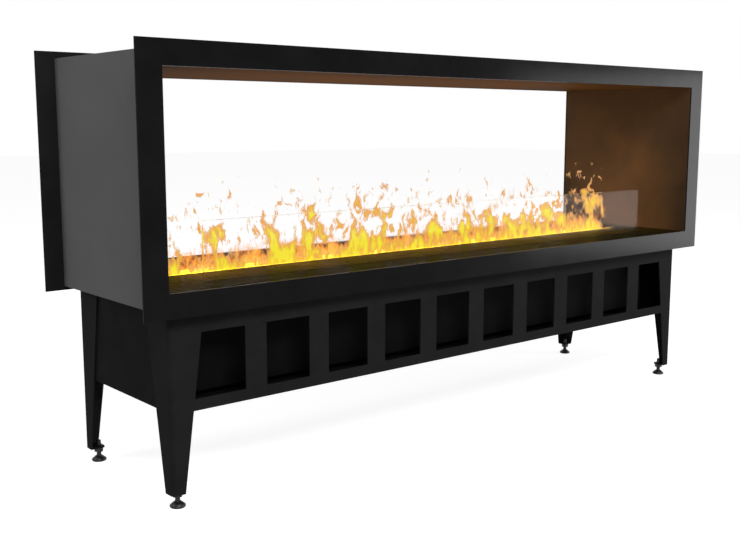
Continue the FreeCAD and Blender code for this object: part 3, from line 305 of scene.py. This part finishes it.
# Materials of the vapour
def lit_vapour(name, colours, reach, tongue_mm, foot, loss, grouping, raggedness, fade_in, opacity, strength,
               light_falloff):
    """Mist lit from below: dense at its foot, drawn up into swaying tongues and torn into shreds above.

    Its density is given at the foot, with its loss over the reach and how much groups of tongues and single
    tongues change it. It fades in between two densities, up to the opacity. The colours run from thin mist to
    dense; the falloff is how far along them the mist falls back over its reach, as the light of the strips
    below grows weaker higher up. Its glow is painted light, since the mist is no lamp."""
    material, tree, place = new_material(name)
    parts = add(tree, "SeparateXYZ", {}, {"Vector": place})
    height = add(tree, "MapRange", {"clamp": False, "From Min": FLOOR_TOP, "From Max": FLOOR_TOP + reach},
                 {"Value": parts.outputs["Z"]})

    groups = add(tree, "TexNoise", {"Scale": size(GROUP_WIDTH * tongue_mm), "Detail": 1.0},
                 {"Vector": place})
    currents = add(tree, "TexNoise", {"Scale": size(CURRENT_WIDTH * tongue_mm), "Detail": 1.0},
                   {"Vector": place})
    centred = add(tree, "VectorMath", {"operation": "SUBTRACT", 1: (0.5, 0.5, 0.5)},
                  {0: currents.outputs["Color"]})
    swing = add(tree, "Math", {"operation": "MULTIPLY", 1: SWAY_WIDTH * tongue_mm * MM},
                {0: height.outputs[0]})
    sway = add(tree, "VectorMath", {"operation": "SCALE"},
               {0: centred.outputs[0], "Scale": swing.outputs[0]})
    swayed = add(tree, "VectorMath", {"operation": "ADD"}, {0: place, 1: sway.outputs[0]})
    drawn_up = add(tree, "Mapping", {"Scale": TONGUE_SHAPE}, {"Vector": swayed.outputs[0]})
    tongues = add(tree, "TexNoise", {"Scale": size(tongue_mm), "Detail": 4.0, "Roughness": 0.55},
                  {"Vector": drawn_up.outputs[0]})

    level = add(tree, "Math", {"operation": "MULTIPLY_ADD", 1: -loss, 2: foot - (grouping + raggedness) / 2},
                {0: height.outputs[0]})
    grouped = add(tree, "Math", {"operation": "MULTIPLY_ADD", 1: grouping},
                  {0: groups.outputs[0], 2: level.outputs[0]})
    mist = add(tree, "Math", {"operation": "MULTIPLY_ADD", 1: raggedness},
               {0: tongues.outputs[0], 2: grouped.outputs[0]})
    # Painted light: the mist's colour falls back as it rises, standing for the strips' light growing weaker.
    glow_level = add(tree, "Math", {"operation": "MULTIPLY_ADD", 1: -light_falloff},
               {0: height.outputs[0], 2: mist.outputs[0]})

    stops = [(i / (len(colours) - 1), linear(colour)) for i, colour in enumerate(colours)]
    colour = add(tree, "ValToRGB", {"stops": stops}, {"Fac": glow_level.outputs[0]})
    cover = add(tree, "MapRange", {"interpolation_type": "SMOOTHSTEP", "From Min": fade_in[0],
                                   "From Max": fade_in[1], "To Max": opacity}, {"Value": mist.outputs[0]})
    shader = add(tree, "BsdfPrincipled", {"Base Color": linear("#000000"), "Specular IOR Level": 0.0,
                                          "Roughness": 1.0, "Emission Strength": strength},
                 {"Emission Color": colour.outputs["Color"], "Alpha": cover.outputs["Result"]})
    close(tree, shader)
    material.cycles.emission_sampling = "NONE"
    return material


def deep_vapour():
    # Thin mist at the back: adds a deep orange to what is dark behind it and hardly hides what is bright.
    return lit_vapour("deep_vapour", ("#7A4418", "#AC6224", "#E28A34", "#F4AE44"),
                      reach=50 * MM, tongue_mm=9, foot=1.2, loss=1.3, grouping=1.2, raggedness=1.8,
                      fade_in=(0.0, 0.8), opacity=0.34, strength=2.2, light_falloff=0.0)


def bright_vapour():
    # Dense mist over the light strips: clear yellow tongues whose edges and torn tips turn peach.
    return lit_vapour("bright_vapour", ("#E6BC9A", "#E8B488", "#EAAA68", "#ECA848", "#F0CC3C", "#F6E83C"),
                      reach=110 * MM, tongue_mm=13, foot=0.72, loss=0.62, grouping=2.4, raggedness=2.6,
                      fade_in=(0.32, 0.64), opacity=0.8, strength=1.0, light_falloff=0.15)


def torn_vapour():
    # Last shreds of mist above the flames: small tan flecks that the light hardly reaches.
    return lit_vapour("torn_vapour", ("#B8A48E", "#CDAE8A", "#E0B078", "#F0B85E"),
                      reach=150 * MM, tongue_mm=6, foot=0.43, loss=0.42, grouping=2.4, raggedness=2.4,
                      fade_in=(0.6, 0.72), opacity=0.4, strength=1.0, light_falloff=0.0)


# Finishes of the frame's nodes, by the record's slots
FINISHES = {
    "black_powder_coat": satin_powder_coat(),
    "black_liner_paint": liner_paint_and_painted_firelight(),
    "black_casing_paint": black_paint_and_painted_shade(),
    "blackened_steel": black_oxide(),
    "bright_steel": bright_steel(),
    "black_anodised": black_anodised(),
    "clear_glass": clear_glass(),
    "opal_diffuser": opal_diffuser(),
    "black_plastic": moulded_plastic(),
    "gloss_black_plastic": gloss_plastic(),
    "natural_plastic": natural_plastic(),
    "black_rubber": soft_rubber(),
    "green_board": circuit_board(),
}
# Finishes that differ within a slot, by the ends of the nodes' names
SPECIAL_FINISHES = {
    **dict.fromkeys(("firebox_floor", "slot_deck", "filler_flap"), floor_enamel_and_painted_firelight()),
    # The far frame's paler matt black is painted light on its strip; on the legs and vent panels it is their
    # own coat.
    **dict.fromkeys(("_leg", "_vent_panel", "rear_trim_frame"), matt_coat_and_lit_far_frame()),
    **dict.fromkeys(("_side_panel", "roof_panel", "base_pan"), case_coat()),
    # Painted shade: the pedestal's side panels and tray take the darker casing paint.
    **dict.fromkeys(("_base_panel", "base_tray"), FINISHES["black_casing_paint"]),
    "ceiling_liner": ceiling_paint_and_painted_firelight(),
}


def finish_frame():
    """Gives every node of the frame its finish."""
    for part in frame["record"]["subparts"]:
        node = part["node"]
        special = [finish for ending, finish in SPECIAL_FINISHES.items() if node.endswith(ending)]
        for slot in frame["nodes"][node].material_slots:
            slot.material = special[0] if special else FINISHES[part["material_slot"]]


# New pieces
def new_piece(name, bm, material, body):
    """A finished mesh as a piece that moves with a body."""
    mesh = bpy.data.meshes.new(name)
    bm.to_mesh(mesh)
    bm.free()
    mesh.materials.append(material)
    mesh.shade_smooth()
    piece = bpy.data.objects.new(name, mesh)
    bpy.context.scene.collection.objects.link(piece)
    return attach(piece, body)


def threaded_foot(corner):
    """Levelling foot with its thread: a profile of pad, neck and grooved stem, spun about the stem's axis."""
    node = corner + "_glide"
    low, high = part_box(node)
    axis = Vector(((low.x + high.x) / 2, (low.y + high.y) / 2, low.z))
    pad = (high.x - low.x) / 2
    top = high.z - low.z
    groove = STEM_RADIUS - THREAD_DEPTH
    outline = [(0, 0), (pad - PAD_ROUND, 0), (pad, PAD_ROUND), (pad, PAD_RIM), (PAD_NECK, PAD_HEIGHT),
               (groove, PAD_HEIGHT)]
    for turn in range(int((top - PAD_HEIGHT) / THREAD_PITCH)):
        root = PAD_HEIGHT + turn * THREAD_PITCH
        outline += [(STEM_RADIUS, root + 0.5 * THREAD_PITCH), (groove, root + THREAD_PITCH)]
    outline += [(groove, top), (0, top)]

    bm = bmesh.new()
    profile = [bm.verts.new(axis + Vector((r, 0, z))) for r, z in outline]
    edges = [bm.edges.new(pair) for pair in zip(profile, profile[1:])]
    bmesh.ops.spin(bm, geom=profile + edges, cent=axis, axis=(0, 0, 1), angle=math.tau, steps=FOOT_SEGMENTS,
                   use_merge=True)
    bmesh.ops.remove_doubles(bm, verts=bm.verts, dist=MERGE_DISTANCE)
    bmesh.ops.recalc_face_normals(bm, faces=bm.faces)
    foot = new_piece("threaded_foot_" + corner, bm, FINISHES["blackened_steel"], corner + "_foot")
    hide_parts(node)


def vapour_sheet(name, material, y, height, ripple):
    """A thin upright sheet of vapour along the slot, folded like a curtain that stirs more as it rises.

    The ripple is the turn of its folds in radians per metre."""
    bm = bmesh.new()
    bmesh.ops.create_grid(bm, x_segments=SHEET_COLUMNS, y_segments=SHEET_ROWS, size=0.5)
    left, right = SLOT_LOW.x + SHEET_END, SLOT_HIGH.x - SHEET_END
    for vert in bm.verts:
        rise = vert.co.y + 0.5
        x = left + (vert.co.x + 0.5) * (right - left)
        stir = SHEET_FOLD * rise * math.sin(ripple * x + SHEET_LEAN * rise)
        vert.co = (x, y + stir, FLOOR_TOP - SHEET_DIP + rise * height)
    bmesh.ops.solidify(bm, geom=bm.faces, thickness=SHEET_THICK)
    bmesh.ops.recalc_face_normals(bm, faces=bm.faces)
    new_piece(name, bm, material, "cabinet")


# Light, studio and camera
def lamp(name, kind, place, power, colour, **settings):
    """A light at a place, with its own settings."""
    data = bpy.data.lights.new(name, kind)
    data.energy = power
    data.color = linear(colour)[:3]
    for key, value in settings.items():
        setattr(data, key, value)
    light = bpy.data.objects.new(name, data)
    light.location = place
    bpy.context.scene.collection.objects.link(light)
    return light


def fire_glow():
    """Warm light from the flames on the liners, ceiling and floor."""
    span = SLOT_HIGH.x - SLOT_LOW.x
    for i in range(GLOW_LAMPS):
        x = SLOT_LOW.x + (i + 0.5) / GLOW_LAMPS * span
        glow = lamp("fire_glow_%d" % i, "POINT", (x, 0, FLOOR_TOP + GLOW_HEIGHT), GLOW_POWER, GLOW_COLOUR,
                    shadow_soft_size=GLOW_RADIUS)
        glow.visible_camera = False
        glow.visible_glossy = False
        glow.visible_transmission = False


def softbox(name, place, target, width, height, power):
    """A large studio light that faces a point."""
    light = lamp(name, "AREA", place, power, "#FFFFFF", shape="RECTANGLE", size=width, size_y=height)
    light.rotation_euler = (Vector(target) - Vector(place)).to_track_quat("-Z", "Y").to_euler()
    light.visible_camera = False


def seen_directly(tree):
    """1 for rays that show the background to the eye, straight, mirrored or through glass."""
    path = add(tree, "LightPath", {})
    mirrored = add(tree, "Math", {"operation": "MAXIMUM"},
                   {0: path.outputs["Is Camera Ray"], 1: path.outputs["Is Glossy Ray"]})
    seen = add(tree, "Math", {"operation": "MAXIMUM"},
               {0: mirrored.outputs[0], 1: path.outputs["Is Transmission Ray"]})
    return seen.outputs[0]


def surroundings():
    """Soft even light from all sides, which the eye sees as white."""
    world = bpy.data.worlds.new("studio")
    bpy.context.scene.world = world
    world.use_nodes = True
    tree = world.node_tree
    tree.nodes.clear()
    soft = add(tree, "Background", {"Color": linear("#FFFFFF"), "Strength": SKY_LIGHT})
    white = add(tree, "Background", {"Color": linear("#FFFFFF"), "Strength": 1.0})
    either = add(tree, "MixShader", {}, {0: seen_directly(tree), 1: soft.outputs[0], 2: white.outputs[0]})
    add(tree, "OutputWorld", {}, {"Surface": either.outputs[0]})


def pale_floor():
    # Pale painted floor: lifted to white for the eye, but not so far that the object's shadow is lost.
    material, tree, place = new_material("studio_floor")
    fleck = add(tree, "TexNoise", {"Scale": size(400)}, {"Vector": place})
    stops = [(0.0, linear(FLOOR_COLOURS[0])), (1.0, linear(FLOOR_COLOURS[1]))]
    pale = add(tree, "ValToRGB", {"stops": stops}, {"Fac": fleck.outputs["Fac"]})
    matt = add(tree, "BsdfDiffuse", {}, {"Color": pale.outputs["Color"]})
    lift = add(tree, "Math", {"operation": "MULTIPLY", 1: FLOOR_LIFT}, {0: seen_directly(tree)})
    white = add(tree, "Emission", {"Color": linear("#FFFFFF")}, {"Strength": lift.outputs[0]})
    close(tree, add(tree, "AddShader", {}, {0: matt.outputs[0], 1: white.outputs[0]}))
    return material


def studio():
    """White surroundings, a pale floor that keeps the shadow, and three softboxes."""
    surroundings()
    bm = bmesh.new()
    bmesh.ops.create_grid(bm, x_segments=1, y_segments=1, size=FLOOR_REACH)
    mesh = bpy.data.meshes.new("studio_floor")
    bm.to_mesh(mesh)
    bm.free()
    mesh.materials.append(pale_floor())
    floor = bpy.data.objects.new("studio_floor", mesh)
    bpy.context.scene.collection.objects.link(floor)
    for name, settings in SOFTBOXES.items():
        softbox(name, *settings)


def camera():
    """The photograph's camera."""
    data = bpy.data.cameras.new("photograph")
    data.lens = CAMERA_LENS
    data.sensor_width = CAMERA_SENSOR
    view = bpy.data.objects.new("photograph", data)
    view.location = CAMERA_PLACE
    view.rotation_euler = (math.pi / 2 - CAMERA_PITCH, 0, -CAMERA_YAW)
    bpy.context.scene.collection.objects.link(view)
    bpy.context.scene.camera = view


bpy.context.scene.view_settings.view_transform = "Standard"
finish_frame()
for corner in FEET:
    threaded_foot(corner)
vapour_sheet("vapour_curtain", deep_vapour(), y=12 * MM, height=60 * MM, ripple=37)
vapour_sheet("vapour_flames", bright_vapour(), y=-14 * MM, height=170 * MM, ripple=43)
vapour_sheet("vapour_wisps", torn_vapour(), y=0, height=190 * MM, ripple=29)
fire_glow()
studio()
camera()
